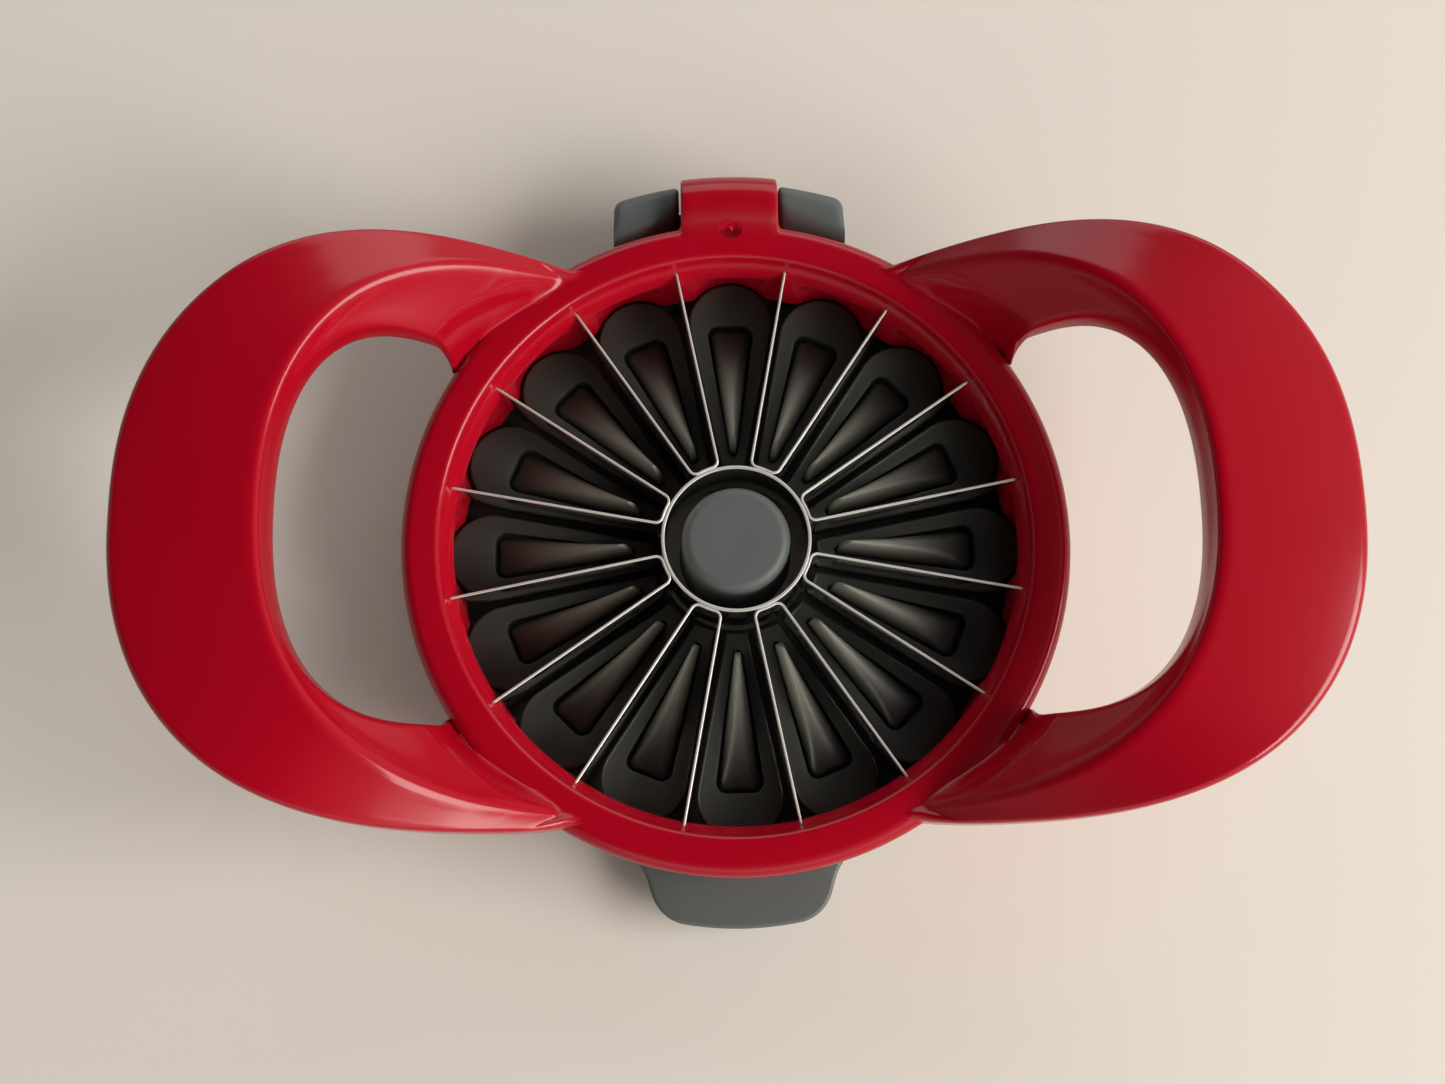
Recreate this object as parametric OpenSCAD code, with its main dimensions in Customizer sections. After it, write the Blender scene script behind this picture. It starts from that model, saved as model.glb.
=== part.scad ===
// Hand slicer and corer for apples.
// A ring with two raised handles carries sixteen radial cutting legs, bent in pairs from eight steel
// strips and joined to a central core tube. A hinged base closes under the ring: its fingers rise
// between the cutting legs and its post rises inside the core tube, so that the slices and the core
// are pushed clear of the steel.
// Units are millimetres, +Z is up and the base stands on Z = 0. X runs from handle to handle and the
// hinge is on the +Y side. The origin is the middle of the bounding box, on the table.

/* [Steel] */
// Outer diameter of the core tube
core_d = 27; // [25:0.5:29]
// Wall of the core tube
core_wall = 0.6; // [0.4:0.1:1]
// Height of the core tube
core_h = 13; // [12:0.25:13.5]
// Thickness of the blade strips
blade_t = 0.5; // [0.3:0.05:0.7]
// Height of the blade strips
blade_h = 12; // [11:0.25:12.25]
// Height of the ground cutting edge along the bottom of a strip
edge_h = 1.2; // [0.6:0.1:2]
// Radius of a strip's bends, to the middle of its thickness
bend_r = 1.3; // [1:0.1:1.5]
// How far a cutting leg passes beside the centre, towards its partner
leg_pinch = 0.3; // [0:0.05:0.4]

/* [Ring] */
// Bore of the ring, across the inner wall that the cutting legs meet
bore_d = 101.6; // [99:0.2:102.4]
// Outer diameter of the ring
ring_d = 119.6; // [119:0.2:121]
// Thickness of the ring's outer skirt
skirt_t = 3.2; // [2.8:0.1:3.4]
// How far the skirt's outside leans inwards at its foot
skirt_draft = 1.2; // [0.4:0.1:1.3]
// Height of the ring's rim above the cutting legs
rim_h = 3; // [2.5:0.1:4]
// Depth of the ring below the top of the cutting legs
ring_depth = 14; // [13.6:0.1:14.4]
// Radius of the ring's outer shoulder
shoulder_r = 2.5; // [1.5:0.1:2.7]
// Width of the sloping lip inside the rim
lip_w = 2.4; // [1.6:0.1:2.8]
// Depth that the cutting legs are let into the wall
leg_seat = 2; // [1.2:0.1:2.6]

/* [Handles] */
// Overall length from handle to handle
overall_l = 205.4; // [198:0.2:214]
// Distance between the outer edges of a handle, front to back
handle_w = 104; // [98:1:106]
// Height of the handles' crest above the top of the cutting legs
crest_h = 31; // [24:0.5:34]
// How far the palm face falls from its crest to its outer edge
palm_fall = 3; // [1:0.5:5]
// Width of the palm face at the end of the handle
palm_w = 27; // [24:0.5:29]
// Width of the finger gap, front to back
gap_w = 67.6; // [62:0.2:70]
// Depth of the handle's inner side at its far end
inner_wall_h = 9; // [7:0.5:12]
// Height of the upright wall round the finger gap
gap_wall_h = 5; // [3:0.5:6]
// Depth of the handle's outer edge
outer_wall_h = 6; // [4:0.5:8]
// Wall of the hollow handles
handle_wall = 2.5; // [2:0.1:3]

/* [Base] */
// Height of the base, from the table to the underside of the ring
base_h = 10; // [9:0.25:12]
// Outer diameter of the base
base_d = 116; // [114:0.5:117]
// How far the front tab stands out from the base
tab_out = 10.2; // [8:0.2:14]
// Width of the front tab
tab_w = 33.6; // [28:0.2:40]
// Thickness of the front tab
tab_t = 3.6; // [2.5:0.1:4.5]
// Width of the grooves between the fingers
groove_w = 1.8; // [1.5:0.05:2.1]
// Thickness of the plate under the fingers
plate_t = 2; // [1.5:0.1:2.2]
// Height of the fingers above their plate
finger_h = 5; // [4.5:0.1:5.4]
// Height of a wedge's peak above its finger
wedge_h = 6.8; // [4:0.2:7.5]
// Diameter of the core post
post_d = 19.6; // [17:0.1:20.4]
// Diameter of a foot pad
pad_d = 6.5; // [5:0.1:7]
// How far the foot pads stand below the base
pad_proud = 1; // [0.6:0.1:1.2]

/* [Hinge] */
// Diameter of the hinge pin
pin_d = 3; // [2.5:0.1:4]
// Width of the ring's hinge lug
lug_w = 18.2; // [16:0.2:20]
// Radius of the lug around the hinge pin
lug_r = 6; // [5:0.1:6]
// Width of one base knuckle
knuckle_w = 12.4; // [10:0.2:13]

/* [Hidden] */
$fn = 96;

// Clearances: parts of one body that meet, parts of two bodies that meet, and the pin's running fit
seat_gap = 0.05;
body_gap = 0.35;
pin_run = 0.05;
pin_seat = 0.02;
// How far a cutting shape runs past the face that it cuts through
over = 1;

// Pattern: a strip has two legs, and there is a finger in each space between two legs
strips = 8;
strip_step = 360 / strips;
legs = 2 * strips;
leg_step = 360 / legs;
first_strip = leg_step;

// Heights
ring_z = base_h;
blade_top = ring_z + ring_depth;
blade_z = blade_top - blade_h;
ring_top = blade_top + rim_h;
rim_gap = 0.3;
rim_z = ring_z - rim_gap;

// Radii
core_r = core_d / 2;
bore_r = bore_d / 2;
ring_r = ring_d / 2;
skirt_r = ring_r - skirt_t;
tray_r = base_d / 2;
tab_reach = tray_r + tab_out;
plate_margin = 3.3;
plate_r = bore_r + plate_margin;
strip_r = core_r + seat_gap + blade_t / 2;
leg_end = bore_r + leg_seat;

// Hinge: the pin lies behind the ring, low enough for the legs to lift straight out of the grooves
hinge_back = ring_r + lug_r;
hinge_rise = 5;
hinge_z = ring_z + hinge_rise;
knuckle_gap = 0.4;
knuckle_x = lug_w / 2 + knuckle_gap;
knuckle_end = knuckle_x + knuckle_w;
back_reach = hinge_back + lug_r;

// The ring's centre lies in front of or behind the middle of the bounding box
ring_y = (tab_reach - back_reach) / 2;

// Fingers and the scallops that take their round ends
lobe_gap = 0.7;
lobe_reach = 2.3;
lobe_centre = (bore_r + lobe_reach + groove_w / 2) / (1 + sin(leg_step / 2));
lobe_r = lobe_centre * sin(leg_step / 2) - groove_w / 2;
core_clear = 1.8;
finger_in = core_r + core_clear;
plate_drop = 4;
plate_z = ring_z - plate_drop;
finger_z = plate_z + plate_t;
finger_top = finger_z + finger_h;
holder_dip = 1.6;
holder_z = finger_top - holder_dip;

red = [0.62, 0.02, 0.09];
steel = [0.78, 0.79, 0.8];
grey = [0.24, 0.25, 0.245];
dark_grey = [0.17, 0.175, 0.17];
rubber = [0.1, 0.1, 0.1];

// Points of an arc in degrees
function arc(cx, cy, r, a0, a1, n) = [for (i = [0:n]) let (a = a0 + (a1 - a0) * i / n)
    [cx + r * cos(a), cy + r * sin(a)]];

function reversed(v) = [for (i = [len(v) - 1:-1:0]) v[i]];

// Everything but the origin shift is drawn around the ring's own centre
module at_ring() translate([0, ring_y, 0]) children();

// ---------------------------------------------------------------- steel

// A leg's line makes this angle with its strip's middle, and passes leg_pinch beside the centre
leg_turn = leg_step / 2 + asin(leg_pinch / leg_end);

// One edge of a strip in plan, off to the core side by the given offset: half of it, from the middle
// of the base along the tube, round the bend and out along the leg
function strip_edge(off) =
    let (base_a = leg_turn - asin((bend_r + leg_pinch) / (strip_r + bend_r)),
         cx = (strip_r + bend_r) * cos(base_a),
         cy = (strip_r + bend_r) * sin(base_a),
         leg_y = off - leg_pinch)
    concat(
        arc(0, 0, strip_r - off, 0, base_a, 3),
        arc(cx, cy, bend_r + off, 180 + base_a, 90 + leg_turn, 6),
        [[leg_end * cos(leg_turn) - leg_y * sin(leg_turn), leg_end * sin(leg_turn) + leg_y * cos(leg_turn)]]);

function mirrored(v) = [for (p = reversed(v)) [p[0], -p[1]]];

function whole_edge(off) = concat(mirrored(strip_edge(off)), [for (i = [1:len(strip_edge(off)) - 1])
    strip_edge(off)[i]]);

module strip_plan(t) polygon(concat(whole_edge(t / 2), reversed(whole_edge(-t / 2))));

// The ground edge along the bottom of a strip is thinner than the strip
edge_share = 0.5;
module blade_strip(k) {
    color(steel) at_ring() rotate([0, 0, first_strip + k * strip_step]) {
        translate([0, 0, blade_z + edge_h]) linear_extrude(blade_h - edge_h) strip_plan(blade_t);
        translate([0, 0, blade_z]) linear_extrude(edge_h) strip_plan(blade_t * edge_share);
    }
}

module core_tube() {
    color(steel) at_ring() translate([0, 0, blade_top - core_h]) difference() {
        cylinder(h = core_h, r = core_r);
        translate([0, 0, -over]) cylinder(h = core_h + 2 * over, r = core_r - core_wall);
    }
}

// Slots for the ends of the legs, cut outwards from the bore
module leg_slots(z0, z1) {
    slot_w = blade_t + 2 * seat_gap;
    for (k = [0:strips - 1], side = [-1, 1])
        rotate([0, 0, first_strip + k * strip_step + side * leg_turn])
            translate([bore_r - 3 * over, -side * leg_pinch - slot_w / 2, z0])
                cube([leg_seat + 3 * over + seat_gap, slot_w, z1 - z0]);
}

// ---------------------------------------------------------------- ring

// The ring's section: skirt, rounded shoulder, flat rim, rounded inner edge and sloping lip
lip_r = 1.2;
lip_drop = 0.2;
seat_depth = 2;
seat_z = blade_top - seat_depth;
module ring_section() {
    lip_out = bore_r + lip_w;
    polygon(concat(
        [[skirt_r, ring_z], [ring_r - skirt_draft, ring_z]],
        arc(ring_r - shoulder_r, ring_top - shoulder_r, shoulder_r, 0, 90, 8),
        arc(lip_out + lip_r, ring_top - lip_r, lip_r, 90, 180, 6),
        [[bore_r, blade_top - lip_drop], [bore_r, seat_z], [skirt_r, seat_z]]));
}

// The lug's side view: round about the pin, rounded again at the top of its back, and flat on top
lug_step = 1;
lug_top = ring_top - lug_step;
lug_lean = 0.3;
lug_root = 0.5;
lug_foot = 1.5;
module lug_side() {
    back_r = lug_r - lug_lean;
    root = skirt_r + lug_root;
    foot = hinge_z - lug_r + lug_foot;
    translate([hinge_back, hinge_z]) circle(r = lug_r);
    translate([hinge_back - lug_lean, lug_top - back_r]) circle(r = back_r);
    translate([root, foot]) square([hinge_back - root, lug_top - foot]);
    translate([hinge_back - lug_r, hinge_z]) square([2 * lug_r - lug_lean, lug_top - back_r - hinge_z]);
}

module frame_ring() {
    color(red) at_ring() difference() {
        union() {
            rotate_extrude() ring_section();
            rotate([90, 0, 90]) translate([0, 0, -lug_w / 2]) linear_extrude(lug_w) lug_side();
        }
        cylinder(h = seat_z, r = skirt_r);
        leg_slots(seat_z - over, blade_top + seat_gap);
        translate([-lug_w, hinge_back, hinge_z]) rotate([0, 90, 0])
            cylinder(h = 2 * lug_w, d = pin_d + 2 * pin_run);
    }
}

// The scalloped ring that closes the slots from below; a web is left over its scallops
holder_web = 2;
module blade_holder() {
    holder_h = seat_z - seat_gap - holder_z;
    color(red) at_ring() difference() {
        translate([0, 0, holder_z]) cylinder(h = holder_h, r = skirt_r - seat_gap);
        translate([0, 0, holder_z - over]) cylinder(h = holder_h + 2 * over, r = bore_r);
        for (k = [0:legs - 1]) rotate([0, 0, k * leg_step])
            translate([lobe_centre, 0, holder_z - over])
                cylinder(h = holder_h - holder_web + over, r = lobe_r + lobe_gap);
        leg_slots(blade_z - seat_gap, seat_z + over);
    }
}

// ---------------------------------------------------------------- handles

// Plan curves are superellipses [centre x, reach along x, half width along y, power, start angle].
// The start angle carries a curve round behind its widest point and into the ring.
overall_r = overall_l / 2;
handle_y = handle_w / 2;
crest_x = overall_r - palm_w;
crest_inset = 3.8;
gap_over = 0.6;
edge_at = 46;
crest_at = 32;
gap_at = 55;
edge_curve = [edge_at, overall_r - edge_at, handle_y, 2.35, 118];
crest_curve = [crest_at, crest_x - crest_at, handle_y - crest_inset, 2.25, 112];
gap_curve = [gap_at, crest_x + gap_over - gap_at, gap_w / 2, 2.3, 135];

function signed_pow(v, e) = sign(v) * pow(abs(v), e);
function on_curve(c, a) = [c[0] + c[1] * signed_pow(cos(a), 2 / c[3]), c[2] * signed_pow(sin(a), 2 / c[3])];

// Heights rise along x as quarter sine waves from the ring to the crest
function rise(x, from, run) = sin(90 * max(0, min(1, (x - from) / run)));
foot_x = 30;
edge_run = 56;
crest_run = 50;
gap_foot_x = 42;
gap_run = 34;
skin_drop = 0.5;
gap_drop = 4;
skin_foot_z = ring_top - skin_drop;
gap_foot_z = blade_top - gap_drop;
crest_peak_z = blade_top + crest_h;
function edge_z(x) = skin_foot_z + (crest_peak_z - palm_fall - skin_foot_z) * rise(x, foot_x, edge_run);
function crest_z(x) = skin_foot_z + (crest_peak_z - skin_foot_z) * rise(x, foot_x, crest_run);
function gap_z(x) = gap_foot_z + (crest_peak_z - inner_wall_h - gap_foot_z) * rise(x, gap_foot_x, gap_run);

// Unit vector from one plan point to another, safe where they meet
function toward(a, b) = (b - a) / max(norm(b - a), 0.001);

// Outer skin of one cross-section, from the gap's lower edge over the crest to the outer edge's foot
round_r = 1.8;
round_in = 0.3 * round_r;
crest_lean = 0.4;
wall_lean = 0.3;
wall_least = 4;
function skin(u) =
    let (e = on_curve(edge_curve, u * edge_curve[4]),
         c = on_curve(crest_curve, u * crest_curve[4]),
         g = on_curve(gap_curve, u * gap_curve[4]),
         d = toward(c, e),
         ze = edge_z(e[0]), zc = crest_z(c[0]), zg = min(gap_z(g[0]), zc - wall_least),
         in_c = c - crest_lean * d,
         w = g + wall_lean * toward(g, in_c))
    [
        [g[0], g[1], zg],
        [w[0], w[1], zg + gap_wall_h],
        [in_c[0], in_c[1], zc - round_r],
        [c[0], c[1], zc - round_in],
        [c[0] + round_r * d[0], c[1] + round_r * d[1], zc],
        [e[0] - round_r * d[0], e[1] - round_r * d[1], ze],
        [e[0] - round_in * d[0], e[1] - round_in * d[1], ze - round_in],
        [e[0], e[1], ze - round_r],
        [e[0], e[1], ze - outer_wall_h]
    ];

// The hollow under the skin: a wall's thickness inside it and open below
hollow_drop = 12;
wall_share = 0.35;
function hollow(u) =
    let (s = skin(u),
         g = [s[0][0], s[0][1]], c = [s[3][0], s[3][1]], e = [s[7][0], s[7][1]],
         d = toward(c, e), w = handle_wall, m = min(w, wall_share * norm(e - c)),
         eo = e - w * d, ci = c + m * d, gi = g + w * d)
    [
        [gi[0], gi[1], s[0][2] - hollow_drop],
        [gi[0], gi[1], s[1][2] - w],
        [ci[0], ci[1], s[3][2] - w],
        [eo[0], eo[1], s[5][2] - w],
        [eo[0], eo[1], s[8][2] - hollow_drop]
    ];

// A closed solid lofted through cross-sections given as rows of points
module loft(rows) {
    n = len(rows[0]);
    m = len(rows);
    points = [for (r = rows, p = r) p];
    sides = [for (i = [0:m - 2], j = [0:n - 1], h = [0, 1]) let (k = (j + 1) % n)
        h == 0 ? [i * n + j, i * n + k, (i + 1) * n + k] : [i * n + j, (i + 1) * n + k, (i + 1) * n + j]];
    ends = [[for (j = [n - 1:-1:0]) j], [for (j = [0:n - 1]) (m - 1) * n + j]];
    polyhedron(points = points, faces = concat(sides, ends), convexity = 8);
}

stations = 44;
rib_t = 2;
rib_step = 16;
rib_reach = 8;
rib_in = crest_x - rib_reach;
module handle() {
    us = [for (i = [0:stations]) 1 - 2 * i / stations];
    difference() {
        loft([for (u = us) skin(u)]);
        difference() {
            loft([for (u = us) hollow(u)]);
            for (i = [-2:2]) translate([rib_in, i * rib_step - rib_t / 2, 0])
                cube([overall_r - rib_in, rib_t, crest_peak_z]);
        }
        ring_cut();
        for (side = [-1, 1]) rotate([0, 0, side * root_turn]) root_cut();
    }
}

// The ring's outside, which the handles are seated on: they reach up over its shoulder
module ring_cut() {
    rotate_extrude() polygon(concat(
        [[0, 0], [ring_r, 0]],
        arc(ring_r - shoulder_r, ring_top - shoulder_r, shoulder_r, 0, 90, 8),
        [[0, ring_top]]));
}

// The end face of a handle's root: it leans back from the ring's flat top, square to this direction
root_turn = 54;
root_at = 55;
root_half = 24;
root_rise = 9;
root_run = 4;
module root_cut() {
    rotate([90, 0, 0]) translate([0, 0, -root_half]) linear_extrude(2 * root_half)
        polygon([[0, ring_top - over], [root_at - over, ring_top - over], [root_at, ring_top],
            [root_at + root_run, ring_top + root_rise], [root_at + root_run, 2 * crest_peak_z],
            [0, 2 * crest_peak_z]]);
}

module right_handle() color(red) at_ring() handle();
module left_handle() color(red) at_ring() mirror([1, 0, 0]) handle();

// ---------------------------------------------------------------- base

pad_seat = 1.2;
pad_inset = 4.4;
tray_z = pad_proud;
pad_at = tray_r - pad_inset;
first_pad = 2 * leg_step;
ledge_w = 1.2;
module base_tray() {
    color(grey) at_ring() difference() {
        translate([0, 0, tray_z]) cylinder(h = rim_z - tray_z, r = tray_r);
        translate([0, 0, plate_z - seat_gap]) cylinder(h = base_h, r = plate_r + seat_gap);
        cylinder(h = base_h, r = bore_r - ledge_w);
        for (k = [0:3]) rotate([0, 0, first_pad + 90 * k]) translate([pad_at, 0, 0])
            cylinder(h = tray_z + pad_seat, d = pad_d + 2 * seat_gap);
    }
}

module foot_pad(k) {
    color(rubber) at_ring() rotate([0, 0, first_pad + 90 * k]) translate([pad_at, 0, 0])
        cylinder(h = pad_proud + pad_seat - seat_gap, d = pad_d);
}

// A finger in plan: straight sides half a groove from the legs' middle lines, and a round outer end
module finger_plan() {
    half = groove_w / 2 / sin(leg_step / 2);
    out = lobe_centre;
    intersection() {
        translate([half, 0]) polygon([[0, 0], out * [cos(leg_step / 2), sin(leg_step / 2)],
            out * [cos(leg_step / 2), -sin(leg_step / 2)]]);
        difference() {
            circle(r = out);
            circle(r = finger_in);
        }
    }
    translate([lobe_centre, 0]) circle(r = lobe_r);
}

// A wedge in plan: pointed towards the core, with two round corners at its wide outer end
wedge_in = core_r + 5;
wedge_out = bore_r - 6.3;
wedge_w = 8.6;
corner_r = 2;
corner_turn = 80;
module wedge_plan(inset = 0) {
    r = corner_r - inset / 2;
    out = wedge_out - inset - r;
    half = wedge_w / 2 - inset - r;
    polygon(concat([[wedge_in + 4 * inset, 0]], arc(out, -half, r, -corner_turn, 0, 5), arc(out, half, r, 0, corner_turn, 5)));
}

// The wedge's roof falls outwards from its peak and its nose is steep
wedge_nose = 3;
peak_in = wedge_in + wedge_nose;
wedge_sink = 1.6;
module wedge_side() {
    top = finger_top + wedge_h;
    polygon([[wedge_in - over, finger_z + over], [wedge_in, finger_top], [peak_in, top],
        [wedge_out + over, finger_top - wedge_sink], [wedge_out + over, finger_z + over]]);
}

// Each finger is cored out from below, under its wedge
core_out = 1.5;
module finger_plate() {
    color(dark_grey) at_ring() difference() {
        finger_solids();
        for (k = [0:legs - 1]) rotate([0, 0, k * leg_step]) translate([0, 0, plate_z - over])
            linear_extrude(plate_t + finger_h - core_out - wedge_sink + over) wedge_plan(core_out);
    }
}

module finger_solids() {
    translate([0, 0, plate_z]) cylinder(h = plate_t, r = plate_r);
    for (k = [0:legs - 1]) rotate([0, 0, k * leg_step]) {
        difference() {
            translate([0, 0, finger_z - over]) linear_extrude(finger_h + over) finger_plan();
            translate([0, 0, finger_z + over]) linear_extrude(finger_h) wedge_plan();
        }
        intersection() {
            translate([0, 0, finger_z]) linear_extrude(finger_h + wedge_h) wedge_plan();
            rotate([90, 0, 0]) translate([0, 0, -wedge_w]) linear_extrude(2 * wedge_w) wedge_side();
        }
    }
}

// The post that pushes the core out: round-edged on top and flared at its foot
post_drop = 0.4;
post_edge = 2;
post_flare = 0.6;
flare_h = 6;
module core_post() {
    top = blade_top - post_drop;
    foot = finger_z + seat_gap;
    r = post_d / 2;
    color(grey) at_ring() rotate_extrude() polygon(concat(
        [[0, foot], [r + post_flare, foot], [r, foot + flare_h]],
        arc(r - post_edge, top - post_edge, post_edge, 0, 90, 8),
        [[0, top]]));
}

// The front tab's outline: hollow flanks that sweep out into the base and a bowed front edge
tab_root = 3.4;
tab_corner = 8;
tab_turn = 74;
tab_bow = 1.2;
module tab_plan() {
    half = tab_w / 2;
    root_x = half + tab_root;
    root_y = tab_root - over + sqrt(pow(tray_r, 2) - pow(root_x, 2));
    corner_x = half - tab_corner;
    corner_y = tab_reach - tab_corner - tab_bow;
    polygon(concat(
        arc(root_x, -root_y, tab_root, 90, 180, 5),
        arc(corner_x, -corner_y, tab_corner, 0, -tab_turn, 7),
        [[0, -tab_reach]],
        arc(-corner_x, -corner_y, tab_corner, tab_turn - 180, -180, 7),
        arc(-root_x, -root_y, tab_root, 0, 90, 5),
        [[0, 0]]));
}

module front_tab() {
    color(grey) at_ring() translate([0, 0, rim_z - tab_t]) difference() {
        linear_extrude(tab_t) tab_plan();
        translate([0, 0, -over]) cylinder(h = tab_t + 2 * over, r = tray_r);
    }
}

// Space that a knuckle may fill about the hinge line: the ring's wall swings round it
module knuckle_swing() {
    steps = 6;
    free = [for (i = [0:steps]) let (x = knuckle_x + knuckle_w * i / steps)
        [hinge_back - sqrt(pow(ring_r, 2) - pow(x, 2)) - body_gap, x]];
    rotate_extrude() polygon(concat([[0, knuckle_x]], free, [[0, knuckle_end]]));
}

module knuckle_plan() {
    difference() {
        translate([knuckle_x, 0]) square([knuckle_w, back_reach]);
        circle(r = tray_r);
    }
}

knuckle_rise = 0.5;
knuckle_top = hinge_z + lug_r + knuckle_rise;
knuckle_trim = 0.6;
module knuckle() {
    back_r = back_reach - knuckle_trim;
    difference() {
        intersection() {
            cylinder(h = knuckle_top, r = back_r);
            union() {
                translate([0, hinge_back, hinge_z]) rotate([0, 90, 0]) knuckle_swing();
                translate([0, 0, tray_z]) linear_extrude(rim_z - tray_z) knuckle_plan();
                translate([knuckle_x, hinge_back - lug_r + knuckle_rise, tray_z])
                    cube([knuckle_w, 2 * lug_r, hinge_z - tray_z]);
            }
        }
        cylinder(h = rim_z, r = tray_r);
        translate([knuckle_x - over, hinge_back, hinge_z]) rotate([0, 90, 0])
            cylinder(h = knuckle_w, d = pin_d + 2 * pin_seat);
    }
}

module right_knuckle() color(grey) at_ring() knuckle();
module left_knuckle() color(grey) at_ring() mirror([1, 0, 0]) knuckle();

pin_short = 1.2;
module hinge_pin() {
    pin_end = knuckle_end - pin_short;
    color(steel) at_ring() translate([-pin_end, hinge_back, hinge_z]) rotate([0, 90, 0])
        cylinder(h = 2 * pin_end, d = pin_d);
}

frame_ring();
left_handle();
right_handle();
blade_holder();
core_tube();
blade_strip(0);  // blade_strip_1
blade_strip(1);  // blade_strip_2
blade_strip(2);  // blade_strip_3
blade_strip(3);  // blade_strip_4
blade_strip(4);  // blade_strip_5
blade_strip(5);  // blade_strip_6
blade_strip(6);  // blade_strip_7
blade_strip(7);  // blade_strip_8
base_tray();
finger_plate();
core_post();
front_tab();
left_knuckle();
right_knuckle();
hinge_pin();
foot_pad(0);  // foot_pad_1
foot_pad(1);  // foot_pad_2
foot_pad(2);  // foot_pad_3
foot_pad(3);  // foot_pad_4
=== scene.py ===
# %% [markdown]
# Hand slicer and corer for apples, dressed for rendering.
# The object is a red moulded frame with two raised loop handles, sixteen thin steel legs bent in
# pairs from eight strips, a steel core tube, and a hinged base whose fingers, painted near black as
# shade between the legs, push the slices out. The CAD frame gives the true sizes and the two moving
# bodies, so the first step loads it.

import math

import bmesh
import bpy
import numpy as np
from mathutils import Matrix, Vector


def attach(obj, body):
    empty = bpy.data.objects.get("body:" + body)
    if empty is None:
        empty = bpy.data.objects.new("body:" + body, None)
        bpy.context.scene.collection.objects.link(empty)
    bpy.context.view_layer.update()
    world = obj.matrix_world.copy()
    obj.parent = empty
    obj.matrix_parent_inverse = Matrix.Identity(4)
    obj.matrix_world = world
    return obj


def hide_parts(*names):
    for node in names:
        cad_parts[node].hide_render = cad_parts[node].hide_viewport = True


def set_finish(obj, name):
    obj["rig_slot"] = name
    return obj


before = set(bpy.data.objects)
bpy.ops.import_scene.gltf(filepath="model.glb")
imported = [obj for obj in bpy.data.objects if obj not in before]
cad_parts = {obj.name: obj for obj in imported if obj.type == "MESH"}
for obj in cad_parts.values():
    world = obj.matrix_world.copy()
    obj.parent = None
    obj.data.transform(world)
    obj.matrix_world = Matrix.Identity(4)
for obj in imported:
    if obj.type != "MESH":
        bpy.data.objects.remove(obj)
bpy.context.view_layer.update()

# %% [markdown]
# Shapes here are worked out in millimetres round the ring's own centre, because that is how such a
# part is drawn. The mesh maker below turns millimetres into metres and moves the ring's centre to
# its place in the frame. The heights and radii below are the ones that several pieces share.

# %% Main sizes, in millimetres
MM = 0.001  # one millimetre in the frame's metres
RING_Y = -1.8  # the ring's centre in the frame
RING_BASE, RING_TOP, BLADE_TOP = 10.0, 27.0, 24.0
RING_R, SKIRT_R, BORE_R, SHOULDER_R = 59.8, 56.6, 50.8, 2.5
LEGS, STRIPS = 16, 8
STEP = 2 * math.pi / LEGS
HINGE_Y, HINGE_Z = 65.8, 15.0
BASE_FOOT = 1.0  # underside of the base, which stands on pads
PLATE_FOOT, PLATE_TOP = 6.0, 8.0
MIRROR = [-1, 1, 1]  # turns right-hand points into left-hand ones
print("ring radius", RING_R, "bore", BORE_R, "legs", LEGS)

# %% [markdown]
# Every new piece is one or more grids of points: a surface is a function of two parameters, worked
# out as a whole array. Grids are joined in one mesh, points that meet are merged, open ends are
# filled, and all faces are turned outwards. Edges sharper than a chosen angle keep their crease.

# %% Grid and mesh helpers
MERGE, SLIVER = 2e-6, 1e-6  # metres: points this close are one, and faces this thin are dropped
CREASE = 32  # degrees: edges sharper than this stay sharp


def grid_faces(rows, columns, close_columns, first):
    """Quads between neighbours of a grid; the last column meets the first if they are closed."""
    across = np.arange(columns - (not close_columns))
    i, j = np.meshgrid(np.arange(rows - 1), across, indexing="ij")
    k = (j + 1) % columns
    here, above = i * columns, (i + 1) * columns
    return np.stack([here + j, here + k, above + k, above + j], -1).reshape(-1, 4) + first


def piece(name, grids, body, slot_name, stands_for=(), crease=CREASE, closed=True):
    """A mesh object from grids of points in mm; closed grids wrap round their second parameter."""
    points, faces, first = [], [], 0
    for grid in grids:
        rows, columns = grid.shape[:2]
        points.append(grid.reshape(-1, 3))
        faces.append(grid_faces(rows, columns, closed, first))
        first += rows * columns
    place = (np.concatenate(points) + [0, RING_Y, 0]) * MM
    mesh = bpy.data.meshes.new(name)
    mesh.from_pydata(place.tolist(), [], np.concatenate(faces).tolist())
    shape = bmesh.new()
    shape.from_mesh(mesh)
    bmesh.ops.remove_doubles(shape, verts=shape.verts, dist=MERGE)
    bmesh.ops.dissolve_degenerate(shape, edges=shape.edges, dist=SLIVER)
    rim = [e for e in shape.edges if e.is_boundary]
    filled = bmesh.ops.holes_fill(shape, edges=rim, sides=0)["faces"]
    bmesh.ops.triangulate(shape, faces=filled)
    bmesh.ops.recalc_face_normals(shape, faces=shape.faces)
    shape.to_mesh(mesh)
    shape.free()
    mesh.shade_smooth()
    mesh.set_sharp_from_angle(angle=math.radians(crease))
    item = bpy.data.objects.new(name, mesh)
    bpy.context.scene.collection.objects.link(item)
    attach(item, body)
    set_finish(item, slot_name)
    if stands_for:
        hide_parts(*stands_for)
    print(f"{name}: {len(mesh.polygons)} faces")
    return item


def arc(centre, radius, start, end, count):
    """Points of a circular arc in a plane, angles in degrees."""
    a = np.radians(np.linspace(start, end, count))
    return np.stack([centre[0] + radius * np.cos(a), centre[1] + radius * np.sin(a)], -1)


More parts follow.
